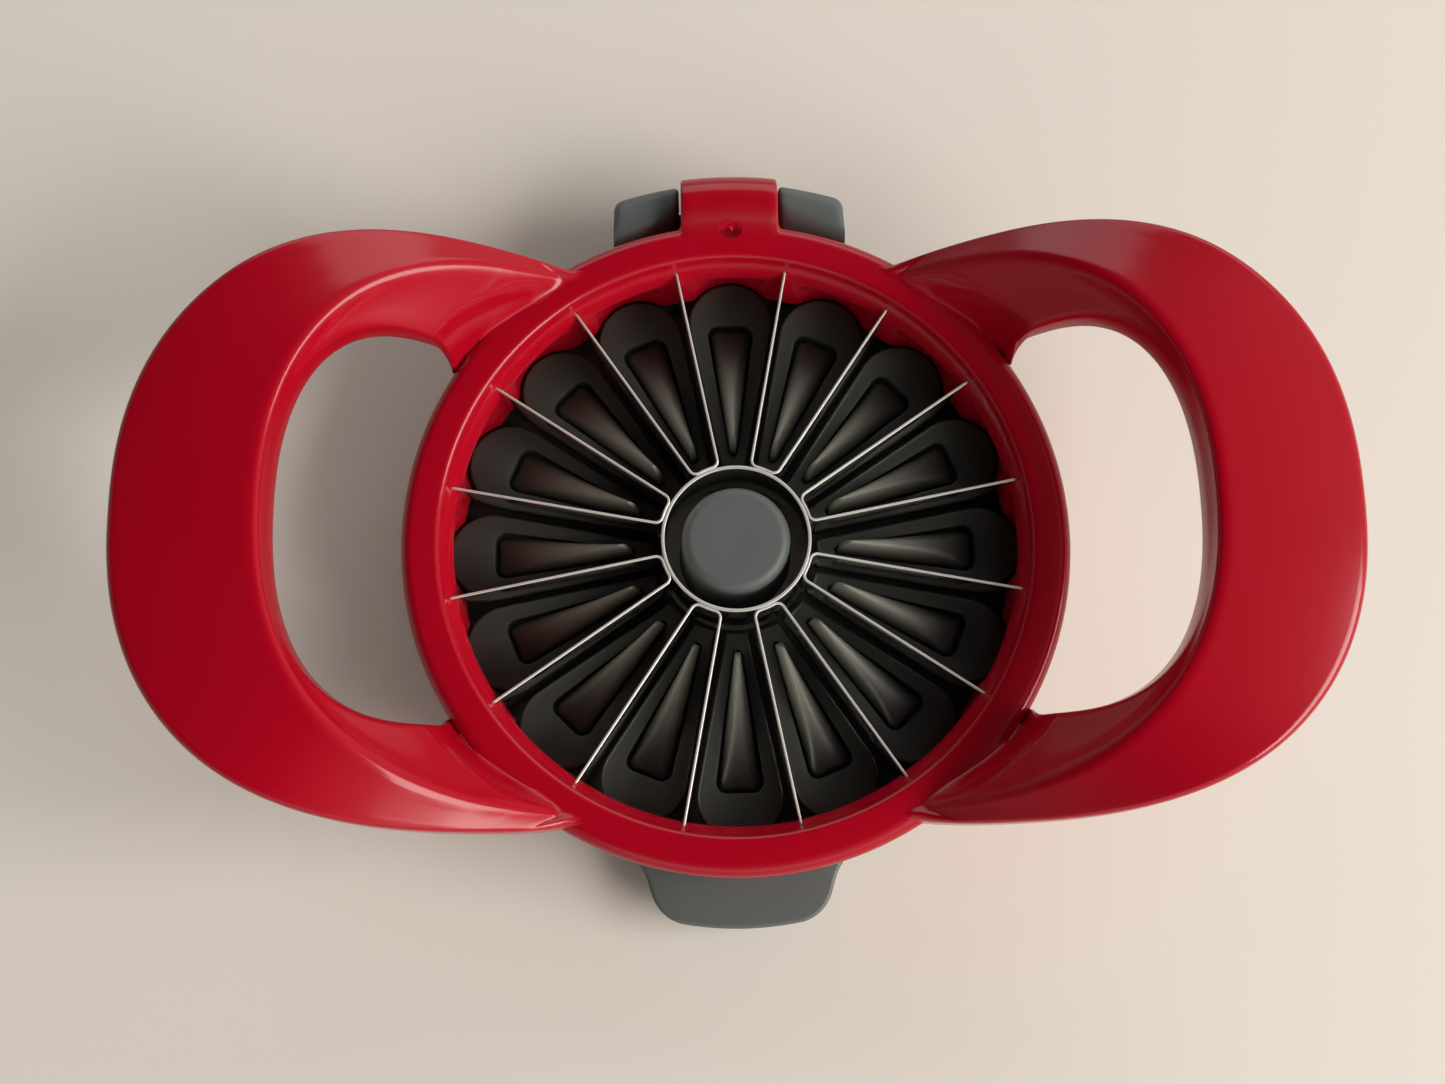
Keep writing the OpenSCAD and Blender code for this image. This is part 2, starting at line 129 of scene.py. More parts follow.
def turned(profile, count=256):
    """A profile of (radius, height) points carried once round the axis: one row per angle."""
    a = np.linspace(0, 2 * np.pi, count + 1)[:, None]
    r, z = profile[:, 0][None, :], profile[:, 1][None, :]
    z = np.broadcast_to(z, (count + 1, len(profile)))
    return np.stack([r * np.cos(a), r * np.sin(a), z], -1)


def smoothstep(x):
    """Zero below 0, one above 1, and 3x^2 - 2x^3 between."""
    x = np.clip(x, 0, 1)
    return x * x * (3 - 2 * x)


# %% [markdown]
# The camera stands almost overhead, a little in front of the object, and leans back by about
# thirteen degrees. It is written as a place and a turn, and the object fills most of its view.

# %% Camera
TURN = 0.01151  # the object stands turned by this much on the table, in radians
SIDEWAYS, LEAN_BACK, ROLL = -0.01658, 0.23122, -0.03168  # radians
STAND = (-0.007216, -0.067759, 0.284859)  # from the middle of the blades' top, in metres
SENSOR, FOCAL, FRAME_WIDTH = 36.0, 1634.13, 1445  # millimetres, then pixels of the frame


def turn(axis, angle):
    """A turn about one axis as a 3 x 3 matrix."""
    return Matrix.Rotation(angle, 3, axis)


tilt = turn("Y", SIDEWAYS) @ turn("X", LEAN_BACK) @ turn("Z", ROLL)
facing = turn("Z", TURN) @ tilt
stand = turn("Z", TURN) @ Vector(STAND)
lens = bpy.data.cameras.new("camera")
lens.sensor_width, lens.lens = SENSOR, FOCAL * SENSOR / FRAME_WIDTH
lens.clip_start, lens.clip_end = 0.01, 20
camera = bpy.data.objects.new("camera", lens)
camera.matrix_world = Matrix.Translation(
    (stand.x, stand.y + RING_Y * MM, stand.z + BLADE_TOP * MM)
) @ facing.to_4x4()
bpy.context.scene.collection.objects.link(camera)
bpy.context.scene.camera = camera
print("camera height above the table:", round(camera.location.z, 3), "m")

# %% [markdown]
# The ring is one moulding: a skirt that leans out a little, a round shoulder, a flat top, a small
# round inner edge, a lip that slopes inwards, and a wall with sixteen scallops that make room for
# the round ends of the fingers. Between two scallops a broad cusp reaches inwards and holds the end
# of a cutting leg. The outside has the same section all the way round, so the whole part is one
# grid of angle by profile in which only the wall's radius changes with the angle.

# %% Scalloped wall
SIDE_GAP = 0.9  # from a finger's straight side to the middle of the gap beside it
LOBE_PAST_BORE = 2.3  # how far a finger's round end goes past the bore
LOBE_C = (BORE_R + LOBE_PAST_BORE + SIDE_GAP) / (1 + math.sin(STEP / 2))
LOBE_R = LOBE_C * math.sin(STEP / 2) - SIDE_GAP


def scallop(a):
    """Radius of the wall at an angle: the larger of the bore and a circle round a finger's end."""
    clearance, recess, soft = 0.45, 0.1, 0.3
    off = (a + STEP / 2) % STEP - STEP / 2
    reach = LOBE_R + clearance
    inside = np.clip(reach**2 - (LOBE_C * np.sin(off)) ** 2, 0, None)
    circle = LOBE_C * np.cos(off) + np.sqrt(inside)
    deeper = np.clip((circle - BORE_R + recess) / soft, -40, 40)
    return BORE_R - recess + soft * np.log1p(np.exp(deeper))


def ring_grid(count=480):
    """Fixed points of the outside, then wall points whose radius blends into the scallops."""
    foot_r, edge_r, lip_r = 58.1, 53.8, 50.85
    blend_top, blend_run = 21.5, 3.0
    a = np.linspace(0, 2 * np.pi, count + 1)

    def all_round(profile):
        """The same profile at every angle."""
        return np.broadcast_to(profile, (count + 1,) + profile.shape)

    foot = arc((foot_r, RING_BASE + 0.5), 0.5, -90, 0, 5)
    shoulder = arc((RING_R - SHOULDER_R, RING_TOP - SHOULDER_R), SHOULDER_R, 4, 90, 14)
    inner = arc((edge_r, RING_TOP - 1.2), 1.2, 90, 172, 9)
    lip = np.array([
        [52.5, 25.35], [52.2, 24.9], [51.88, 24.4], [51.58, 23.9],
        [51.32, 23.4], [51.12, 22.9], [50.98, 22.3], [50.9, 21.7]])
    z = np.array([21.2, 20.8, 20.3, 19.8, 19.3, 18.8, 18.2, 16.0, 12.4, 11.8, 11.5])
    share = smoothstep((blend_top - z) / blend_run)[None, :]
    wall_r = lip_r + (scallop(a)[:, None] - lip_r) * share
    wall_r[:, -1] += 0.3
    wall = np.stack([wall_r, np.broadcast_to(z, wall_r.shape)], -1)
    under = np.array([[SKIRT_R, 11.4], [SKIRT_R, 10.2], [56.8, RING_BASE], [foot_r, RING_BASE]])
    outside = all_round(np.concatenate([foot, shoulder, inner, lip]))
    rz = np.concatenate([outside, wall, all_round(under)], 1)
    r, a = rz[..., 0], a[:, None]
    return np.stack([r * np.cos(a), r * np.sin(a), rz[..., 1]], -1)


RING_NODES = ["frame_ring", "blade_holder"]
ring = piece("ring", [ring_grid()], "frame", "red_plastic", RING_NODES, closed=False)

# %% [markdown]
# Sixteen narrow slots in the cusps take the ends of the cutting legs. They are cut with thin blocks
# and a Boolean modifier, which is applied so that the mesh is final.

# %% Slots for the legs
PINCH = 0.3  # a leg runs this far beside the radius that it follows
LEG_END = BORE_R + 2
LEG_TURN = STEP / 2 + math.asin(PINCH / LEG_END)
SLOT_FROM, SLOT_TO, SLOT_FLOOR, SLOT_HEIGHT = 49.0, 52.0, 11.0, 18.0
SLOT_WIDTH, SLOT_SIDE = 0.56, 0.29  # the side lies a little past half the width


def block_grid(corner, size):
    """A closed box as two four-cornered loops, its foot and its top."""
    loop = np.array([[0, 0], [1, 0], [1, 1], [0, 1]])
    low = np.concatenate([loop * size[:2] + corner[:2], np.full((4, 1), corner[2])], 1)
    return np.stack([low, low + [0, 0, size[2]]])


def spun(points, angle):
    """Points turned about the axis by an angle in radians."""
    c, s = math.cos(angle), math.sin(angle)
    return points @ np.array([[c, s, 0], [-s, c, 0], [0, 0, 1]])


def carve(target, cutter):
    """Subtract a closed mesh from a piece, keep the result as its mesh, and drop the cutter."""
    cut = target.modifiers.new("cut", "BOOLEAN")
    cut.object, cut.solver = cutter, "EXACT"
    evaluated = target.evaluated_get(bpy.context.evaluated_depsgraph_get())
    mesh = bpy.data.meshes.new_from_object(evaluated)
    target.modifiers.clear()
    target.data = mesh
    mesh.shade_smooth()
    mesh.set_sharp_from_angle(angle=math.radians(CREASE))
    bpy.data.objects.remove(cutter)
    print(f"{target.name} after the cut: {len(mesh.polygons)} faces")


def slot_block(k, side):
    """The block that cuts the slot for one leg of strip k; side is -1 or 1."""
    corner = (SLOT_FROM, -side * PINCH - SLOT_SIDE, SLOT_FLOOR)
    size = (SLOT_TO - SLOT_FROM, SLOT_WIDTH, SLOT_HEIGHT)
    return spun(block_grid(corner, size), STEP * (2 * k + 1) + side * LEG_TURN)


blocks = [slot_block(k, side) for k in range(STRIPS) for side in (-1, 1)]
carve(ring, piece("slot_cutter", blocks, "frame", "red_plastic"))

# %% [markdown]
# Each handle is a hollow loop. Three plan curves, all superellipses, guide it: the wall round the
# finger gap, the crest, and the outer edge. Their heights rise as quarter sine waves from the ring.
# A cross-section joins them at every station; its corners are rounded, its web sags and its palm
# face is slightly crowned. The root then comes down on the ring's flat top in a steep leaning face.

# %% Guide curves of a handle
# Each curve: centre, reach, half width, power, and the angle in degrees at u = 1.
EDGE = (46, 56.7, 52, 2.35, 118)
CREST = (32, 45.3, 48.2, 2.25, 112)
GAP = (55, 21.85, 33.8, 2.3, 135)
# Each rise: where it starts, its run, and its lowest and highest height.
EDGE_RISE = (30, 56, 26.5, 52.0)
CREST_RISE = (30, 50, 26.5, 55.0)
GAP_RISE = (42, 34, 20.0, 46.0)


def on_curve(curve, u):
    """Points of a superellipse: signed powers of cosine and sine, times reach and half width."""
    centre, reach, half, power, end = curve
    a = np.radians(u * end)
    x = centre + reach * np.sign(np.cos(a)) * np.abs(np.cos(a)) ** (2 / power)
    y = half * np.sign(np.sin(a)) * np.abs(np.sin(a)) ** (2 / power)
    return np.stack([x, y], -1)


def reach_at(curve, y):
    """How far out a superellipse lies at a given y."""
    centre, reach, half, power, _ = curve
    return centre + reach * (1 - (abs(y) / half) ** power) ** (1 / power)


def climb(x, start, run, low, high):
    """Height low before start, then a quarter sine wave up to high over the run."""
    return low + (high - low) * np.sin(np.pi / 2 * np.clip((x - start) / run, 0, 1))


def unit(v):
    """Vectors scaled to length one."""
    return v / np.maximum(np.linalg.norm(v, axis=-1, keepdims=True), 1e-9)


def stack3(plan, height):
    """Plan points (x, y) with heights added."""
    return np.concatenate([plan, np.broadcast_to(height, plan.shape[:1])[:, None]], 1)


def corner_fill(r, size):
    """How far a wall is drawn aside near the ring, to meet it in a concave arc of this size."""
    end, cosine = 1.88, 0.83  # where the arc ends along the wall, in sizes; the wall's cosine to r
    short = np.clip(end * size - (r - RING_R) / cosine, 0, size)
    return size - np.sqrt(size**2 - short**2)


def handle_corners(u):
    """Corners of the section at u, as points in space, round the skin and back along the hollow."""
    fill, edge_depth, wall_rise, thick, under = 1.8, 6, 5, 2.5, 3
    web_drop, web_start, web_from, web_slope = 4, 3, 60.5, 4  # the web's rise beside the ring
    edge, crest, gap = on_curve(EDGE, u), on_curve(CREST, u), on_curve(GAP, u)
    out = unit(edge - crest)
    run = on_curve(GAP, u + 0.002) - on_curve(GAP, u - 0.002)
    away = unit(np.stack([run[:, 1], -run[:, 0]], 1))
    wall = gap + 0.3 * away
    gap = gap - away * corner_fill(np.linalg.norm(gap, axis=1), fill)[:, None]
    ze = climb(edge[:, 0], *EDGE_RISE)
    zc = climb(crest[:, 0], *CREST_RISE)
    web = np.minimum(climb(gap[:, 0], *GAP_RISE), zc - web_drop)
    near = np.clip(np.linalg.norm(gap, axis=1) - web_from, 0, None)
    zg = np.minimum(web, RING_TOP - web_start + web_slope * near)
    zw = web + wall_rise
    middle = (wall + crest) / 2
    palm = (crest + edge) / 2
    width = np.linalg.norm(edge - crest, axis=1)
    crown = np.minimum(0.5, 0.02 * width)
    t = np.minimum(thick, 0.35 * width)[:, None]
    skin = [
        stack3(gap, zg), stack3(wall, zw), stack3(middle, (zw + zc) / 2 - 0.5),
        stack3(crest, zc), stack3(palm, (zc + ze) / 2 + crown),
        stack3(edge, ze), stack3(edge, ze - edge_depth),
    ]
    hollow = [
        stack3(edge - t * out, ze - edge_depth), stack3(edge - t * out, ze - under),
        stack3(crest + t * out, zc - under),
        stack3(wall + t * away, zw - thick), stack3(wall + t * away, zg),
    ]
    return np.stack(skin + hollow, 1)


def rounded(corners, rounding, steps):
    """Each corner of closed polygons as a quadratic arc that starts `rounding` before it."""
    room = 0.46  # the most of a side that one arc may take
    before = np.roll(corners, 1, axis=1) - corners
    after = np.roll(corners, -1, axis=1) - corners
    rows = []
    for k, (size, count) in enumerate(zip(rounding, steps)):
        b, a, corner = before[:, k], after[:, k], corners[:, k]
        reach_b = np.minimum(size, room * np.linalg.norm(b, axis=1))[:, None]
        reach_a = np.minimum(size, room * np.linalg.norm(a, axis=1))[:, None]
        start, end = (corner + unit(b) * reach_b)[:, None], (corner + unit(a) * reach_a)[:, None]
        t = np.linspace(0, 1, count)[None, :, None]
        rows.append((1 - t) ** 2 * start + 2 * t * (1 - t) * corner[:, None] + t**2 * end)
    return np.concatenate(rows, 1)


def soft_max(a, b, size):
    """The larger of two heights, with a round valley of about this size where they cross."""
    share = np.clip(0.5 + 0.5 * (a - b) / size, 0, 1)
    return b + (a - b) * share + size * share * (1 - share)


def seated(points, first, end, foot):
    """Roots lean back from the ring's flat top and run out on it in a concave fillet.

    The lean is a steep face that starts on a line across the flat top. The upper side (columns
    first to end) is the lower of itself and that face, joined to the ring's own height in a round
    valley. Both side walls below it keep their proportions, and the hollow stays under the skin.
    """
    near_angle, angle_run = 36, 19  # polar degrees over which the lean changes
    face_start, face_slope = 60.2, 5.0  # where the face starts and its slope, at the near angle
    start_shift, slope_loss = 3.8, 2.4  # how much less both are at the far angle
    brow, valley, valley_end = 4.0, 1.2, 66  # sizes of the round brow and valley
    inner_run, outer_run = 9, 14  # columns over which the valley's floor turns level
    hollow_gap, hollow_floor = 3.5, 20.0
    tuck_r, skin_gap = 55.2, 0.03  # what lies level with the ring is tucked out past this radius
    p = points.copy()
    r = np.hypot(p[..., 0], p[..., 1])
    polar = np.degrees(np.arctan2(np.abs(p[..., 1]), p[..., 0]))
    share = np.clip((polar - near_angle) / angle_run, 0, 1)
    start, steep = face_start - start_shift * share, face_slope - slope_loss * share
    lean = RING_TOP + (r - start) * steep
    drop = np.clip(r - (RING_R - SHOULDER_R), 0, SHOULDER_R)
    past = np.clip(r - RING_R, 0, None)
    shoulder = RING_TOP - SHOULDER_R + np.sqrt(SHOULDER_R**2 - drop**2) - 5 * past
    column = np.arange(points.shape[1])
    flat = smoothstep((column - first) / inner_run)
    flat = flat * smoothstep((end - 1 - column) / outer_run)
    ring_z = shoulder + (RING_TOP - past - shoulder) * flat[None, :]
    z = points[..., 2]
    cut = -soft_max(-z, -lean, brow)
    top = np.where(r < valley_end, soft_max(cut, ring_z, valley), cut) - 0.02
    new = np.minimum(z, np.maximum(lean - hollow_gap, hollow_floor))
    new[:, first:end] = top[:, first:end]
    for low, rows, edge in ((0, slice(1, first), first), (foot, slice(end, foot), end - 1)):
        base = np.minimum(z[:, low], top[:, edge] - 1.0)[:, None]
        full = np.maximum(z[:, edge] - z[:, low], 0.1)[:, None]
        part = (z[:, rows] - z[:, low, None]) / full
        new[:, rows] = base + part * (top[:, edge, None] - base)
        new[:, low, None] = base
    tucked = (new < RING_TOP + skin_gap) & (r < tuck_r)
    grow = np.where(tucked, tuck_r / np.maximum(r, 1), 1)
    p[..., :2] *= grow[..., None]
    p[..., 2] = np.where(tucked, np.minimum(new, RING_TOP - skin_gap), new)
    return p


# For each corner of the section: the size of its rounding, and its number of points.
HANDLE_ROUND = [0.6, 1.4, 9, 2.6, 12, 1.9, 0.6, 0.6, 1, 1, 1, 0.6]
HANDLE_STEPS = [4, 7, 11, 9, 9, 9, 4, 3, 3, 3, 3, 3]
RIB_START, RIB_DEEP = 67.8, 6.2  # how far out the ribs begin, and how deep they hang


def rib_grid(y):
    """A rib two millimetres thick in the hollow under the palm, from crest to edge."""
    xc, xe = reach_at(CREST, y), reach_at(EDGE, y)
    zc, ze = climb(xc, *CREST_RISE), climb(xe, *EDGE_RISE)
    zg = climb(reach_at(GAP, y), *GAP_RISE)
    x0, x1 = max(RIB_START, xc + 1.5), xe - 2.2
    loop = np.array([[x0, zc - 2.4], [x1, ze - 2.4], [x1, ze - RIB_DEEP], [x0, zg + 0.8]])
    slab = [np.stack([loop[:, 0], np.full(4, y + s), loop[:, 1]], 1) for s in (-1, 1)]
    return np.stack(slab)


def handle_grids(count=461):
    """The loft through all stations, which stand closer near the roots, and the five ribs."""
    t = np.linspace(1, -1, count)
    u = 0.45 * t + 0.55 * np.sin(np.pi / 2 * t)
    section = rounded(handle_corners(u), HANDLE_ROUND, HANDLE_STEPS)
    last = np.cumsum(HANDLE_STEPS)
    skin = seated(section, last[0] + 3, last[5] - 4, last[6] - 1)
    return [skin] + [rib_grid(y) for y in (-32, -16, 0, 16, 32)]


right_grids = handle_grids()
for side, grids in (("right", right_grids), ("left", [g * MIRROR for g in right_grids])):
    piece(f"{side}_handle_loop", grids, "frame", "red_plastic", [f"{side}_handle"], crease=40)

# %% [markdown]
# The lug is the ring's half of the hinge. Its back and the line where its top rolls over are bowed
# like the ring itself, so the side profile is carried along that bow and its two ends are rounded.
# Two small hollow corners join the lug's sides to the ring's wall.

# %% Hinge lug


def outset(loop, distance):
    """A closed (u, v) loop moved along its own normals; the signed area says which way is out."""
    following = np.roll(loop, -1, 0)
    along = unit(following - np.roll(loop, 1, 0))
    area = np.sum(loop[:, 0] * following[:, 1] - following[:, 0] * loop[:, 1])
    return loop + np.stack([along[:, 1], -along[:, 0]], 1) * distance * np.sign(area)


def bowed_slab(loop, x0, x1, edge, steps=14, rows=4):
    """A (radius, height) loop carried along x on circles about the axis, with both ends rounded."""
    a = np.linspace(0, np.pi / 2, rows)
    ends = [(x0 + edge - edge * math.cos(t), -edge + edge * math.sin(t)) for t in a]
    mids = [(x, 0.0) for x in np.linspace(x0 + edge, x1 - edge, steps)[1:-1]]
    far = [(x0 + x1 - x, d) for x, d in reversed(ends)]
    out = []
    for x, d in ends + mids + far:
        rz = outset(loop, d)
        y = np.sqrt(rz[:, 0] ** 2 - x * x)
        out.append(np.stack([np.full(len(rz), x), y, rz[:, 1]], 1))
    return np.stack(out)


LUG_HALF, LUG_FILLET, LUG_EDGE = 9.1, 1.1, 0.5
FILLET_X = LUG_HALF + LUG_FILLET
FILLET_Y = math.sqrt((RING_R + LUG_FILLET) ** 2 - FILLET_X**2)


def lug_top(r):
    """Height of the lug's upper side: level at the back, rising softly to the ring's top."""
    level_top, rise, rise_from, run = 26.15, 0.84, 64.0, 6.6
    return level_top + rise * smoothstep((rise_from - r) / run)


def lug_fillet():
    """Hollow corner between the lug's side and the ring; its top edge softens towards the ring."""
    a = np.pi + np.linspace(0, math.atan2(FILLET_Y, FILLET_X), 14)
    inward = np.stack([np.cos(a), np.sin(a)], 1)
    wall = np.array([FILLET_X, FILLET_Y]) + LUG_FILLET * inward
    edge = np.linspace(LUG_EDGE, SHOULDER_R, 14)[:, None]
    t = np.linspace(0, np.pi / 2, 8)[None, :]
    deep = np.concatenate([0 * edge, edge * (1 - np.cos(t)), edge + 1.0, edge + 1.0], 1)
    plan = wall[:, None] + inward[:, None] * deep[..., None]
    z = lug_top(np.linalg.norm(plan, axis=2)) - 0.01
    z[:, 1:9] -= edge * (1 - np.sin(t))
    z[:, 0] = z[:, -1] = 11.2
    return np.concatenate([plan, z[..., None]], 2)


def lug_profile():
    """Foot under the ring, round about the pin, rounded back, and a soft rise to the ring."""
    low = arc((HINGE_Y, HINGE_Z), 6.0, -120, 0, 16)
    back = arc((65.5, 20.3), 5.85, 3, 90, 14)
    r = np.linspace(64.6, 56.4, 14)
    top = np.stack([r, lug_top(r)], 1)
    return np.concatenate([[[57.0, 11.0]], [[61.0, 10.6]], low, back, top])


lug_slab = bowed_slab(lug_profile(), -LUG_HALF, LUG_HALF, LUG_EDGE)
lug = piece("hinge_lug", [lug_slab], "frame", "red_plastic", ["frame_ring"])
piece("lug_fillets", [lug_fillet(), lug_fillet() * MIRROR], "frame", "red_plastic")

# %% [markdown]
# The moulding's injection point is a round pit on the lug: a soft dish, a crisp inner ring and a
# small nub. A turned cutter takes it out of the lug's top and of the ring's edge beside it.

# %% Gate pit
GATE = (0.1, 58.5)  # its place in plan
PIT_TOP = 26.85  # the height of the lug's top there


def pit_grid():
    """A closed turned shape: dish, ring wall, floor and nub below, a flat lid above."""
    loop = np.array([
        [0.0, 2], [2.3, 2], [2.3, 0.25], [2.1, 0.02], [1.8, -0.04], [1.45, -0.09], [1.28, -0.1],
        [1.2, -0.2], [1.05, -0.22], [0.45, -0.2], [0.34, -0.1], [0.2, -0.06], [0.0, -0.05]])
    return turned(loop + [0, PIT_TOP], 48) + [GATE[0], GATE[1], 0]


for target in (lug, ring):
    carve(target, piece("pit_cutter", [pit_grid()], "frame", "red_plastic", closed=False))

# %% [markdown]
# Eight strips of thin spring steel make the sixteen cutting legs. A strip lies along the core tube,
# bends outwards at both ends and runs to the ring. It is one rectangular section with softened
# top edges and a ground lower edge, carried along the bent line.

# %% Blade strips
TUBE_R, TUBE_GAP, HALF_THICK, BEND = 13.5, 0.05, 0.25, 1.3


def strip_line():
    """A strip in plan, from leg end to leg end: arc along the tube, bends, straight legs."""
    base_r, bend = TUBE_R + TUBE_GAP + HALF_THICK, BEND
    base_a = LEG_TURN - math.asin((bend + PINCH) / (base_r + bend))
    c = (base_r + bend) * np.array([math.cos(base_a), math.sin(base_a)])
    t0 = np.linspace(0, base_a, 5)[:-1]
    bend_from, bend_to = 180 + math.degrees(base_a), 90 + math.degrees(LEG_TURN)
    t1 = np.radians(np.linspace(bend_from, bend_to, 12))
    on_tube = base_r * np.stack([np.cos(t0), np.sin(t0)], 1)
    on_bend = c + bend * np.stack([np.cos(t1), np.sin(t1)], 1)
    end = np.array([LEG_END * math.cos(LEG_TURN), LEG_END * math.sin(LEG_TURN)])
    end += PINCH * np.array([math.sin(LEG_TURN), -math.cos(LEG_TURN)])
    leg = on_bend[-1] + np.linspace(0, 1, 13)[1:, None] * (end - on_bend[-1])
    half = np.concatenate([on_tube, on_bend, leg])
    return np.concatenate([half[:0:-1] * [1, -1], half])


def strip_grid(angle):
    """The strip's upright section carried along its line, and turned to the strip's place."""
    line = strip_line()
    along = unit(np.gradient(line, axis=0))
    side = np.stack([along[:, 1], -along[:, 0]], 1)
    half, top = HALF_THICK, BLADE_TOP
    section = np.array([
        [0.06, 12.0], [half * 0.7, 12.6], [half, 13.3], [half, top - 0.2],
        [0.21, top - 0.09], [0.12, top - 0.02], [0.0, top], [-0.12, top - 0.02],
        [-0.21, top - 0.09], [-half, top - 0.2], [-half, 13.3], [-half * 0.7, 12.6], [-0.06, 12.0]])
    p = line[:, None, :] + side[:, None, :] * section[None, :, :1]
    z = np.broadcast_to(section[:, 1], p.shape[:2])[..., None]
    return spun(np.concatenate([p, z], -1), angle)


for k in range(STRIPS):
    strip, node_name = strip_grid(STEP * (2 * k + 1)), f"blade_strip_{k + 1}"
    piece(f"{node_name}_bent", [strip], "frame", "blade_steel", [node_name], crease=25)

# %% [markdown]
# The core tube is a short rolled tube whose rim shows as a thin bright circle. The post under it
# has a rounded top and a flared foot. Both are turned shapes.

# %% Core tube and post
tube_loop = np.concatenate([
    arc((13.4, 23.9), 0.1, 0, 90, 4), arc((13.0, 23.9), 0.1, 90, 180, 4),
    [[12.9, 11.0], [TUBE_R, 11.0], [TUBE_R, 23.9]]])
tube = turned(tube_loop, 160)
piece("core_tube_rolled", [tube], "frame", "blade_steel", ["core_tube"], closed=False)

post_loop = np.concatenate([
    [[0.0, 8.05], [10.2, 8.05], [10.4, 8.3]], [[9.95, 12.0], [9.8, 16.0]],
    arc((7.9, 21.7), 1.9, 0, 90, 12), [[4.0, 23.62], [0.0, 23.6]]])
post = turned(post_loop, 128)
piece("core_post_turned", [post], "base", "grey_plastic", ["core_post"], closed=False)

# %% [markdown]
# Sixteen fingers fill the spaces between the legs and push the slices out. Each has straight
# sides, a round outer end, and a pocket with a wedge in it. A finger is worked out as a stack of
# matching loops: its foot, its rounded edge, the pocket's edge, the wedge's foot and its roof.

# %% Fingers
FINGER_START = 15.3  # radius of the inner ends
FINGER_EDGE, EDGE_START = 0.7, 12.3  # rounding of the top edge, and the height where it begins
POCKET_FROM, POCKET_TO, POCKET_HALF, POCKET_FLOOR = 18.5, 44.5, 4.3, 11.0
ROOF_TOP, ROOF_PEAK, ROOF_FALL = 19.8, 21.3, 0.347


def even(outline, count):
    """A closed outline resampled to `count` points at even arc length, from its first point on."""
    closed = np.concatenate([outline, outline[:1]])
    run = np.concatenate([[0], np.cumsum(np.linalg.norm(np.diff(closed, axis=0), axis=1))])
    at = np.linspace(0, run[-1], count + 1)[:-1]
    return np.stack([np.interp(at, run, closed[:, i]) for i in (0, 1)], 1)


def finger_outline(inset, count):
    """Inner arc, straight side, round outer end, other side; moved inwards by the inset."""
    inner = FINGER_START + inset
    shift = SIDE_GAP + inset
    a_in = STEP / 2 - math.asin(shift / inner)
    head = arc((0, 0), inner, 0, math.degrees(a_in), 5)
    tip = arc((LOBE_C, 0), LOBE_R - inset, 90 + math.degrees(STEP / 2), 0, 24)
    half = np.concatenate([head, tip])
    return even(np.concatenate([half, half[-2:0:-1] * [1, -1]]), count)


def wedge_outline(inset, count):
    """Pointed towards the core with a small round tip, two round corners at its outer end."""
    r = 2.0 - inset * 0.5
    tip_r = max(0.75 - inset * 0.5, 0.12)
    tip = np.array([POCKET_FROM + inset + tip_r, 0.0])
    corner = np.array([POCKET_TO - inset - r, POCKET_HALF - inset - r])
    d = corner - tip
    lean = math.degrees(math.atan2(d[1], d[0]) + math.asin((r - tip_r) / np.linalg.norm(d)))
    nose = arc(tip, tip_r, 180, 90 + lean, 6)
    shoulder = arc(corner, r, 90 + lean, 0, 10)
    half_line = np.concatenate([nose, shoulder])
    return even(np.concatenate([half_line, half_line[-2:0:-1] * [1, -1]]), count)


def level(outline, z):
    """An outline as points in space, all at one height."""
    return np.concatenate([outline, np.full((len(outline), 1), float(z))], 1)


def roof(x):
    """Level up to the peak, then a straight fall outwards."""
    return ROOF_TOP - np.clip(x - ROOF_PEAK, 0, None) * ROOF_FALL


def finger_grid(n=132):
    """Matching loops: foot, side, round edge, pocket edge and wall, then the hump to its ridge."""
    loops = [level(finger_outline(0, n), z) for z in (PLATE_TOP, EDGE_START)]
    for t in np.radians([22, 45, 68, 90]):
        inset, rise = FINGER_EDGE * (1 - math.cos(t)), FINGER_EDGE * math.sin(t)
        loops.append(level(finger_outline(inset, n), EDGE_START + rise))
    for inset, z in ((-0.3, 13.0), (-0.1, 12.93), (0.0, 12.7), (0.03, POCKET_FLOOR)):
        loops.append(level(wedge_outline(inset, n), z))
    foot = wedge_outline(0.22, n)
    x, y = foot[:, 0], foot[:, 1]
    for s in (1.0, 0.97, 0.93, 0.87, 0.79, 0.69, 0.57, 0.43, 0.28, 0.14, 0.0):
        nose = 18.75 + 2.6 * (1 - s) ** 0.8
        tail = 44.2 - 1.2 * (1 - s)
        xx = np.clip(x, nose, tail)
        z = POCKET_FLOOR + (roof(xx) - POCKET_FLOOR) * (1 - s**2.6) ** 0.62
        loops.append(np.stack([xx, y * s, z], 1))
    return np.stack(loops)


finger = finger_grid()
fingers = [spun(finger, k * STEP) for k in range(LEGS)]
plate_loop = np.array([
    [13.9, PLATE_FOOT], [54.0, PLATE_FOOT], [54.1, 6.1], [54.1, 7.9], [54.0, PLATE_TOP],
    [13.9, PLATE_TOP], [13.9, PLATE_FOOT]])
plate = turned(plate_loop, 192)
print("finger grid:", finger.shape)
piece("finger_plate_moulded", fingers, "base", "finger_plastic", ["finger_plate"], crease=38)
piece("finger_web", [plate], "base", "finger_plastic", ["finger_plate"], closed=False)

# %% [markdown]
# The base is a shallow turned ring on four rubber pads. Its two knuckles, at the back, carry the
# hinge pin, which is turned too, about its own line.

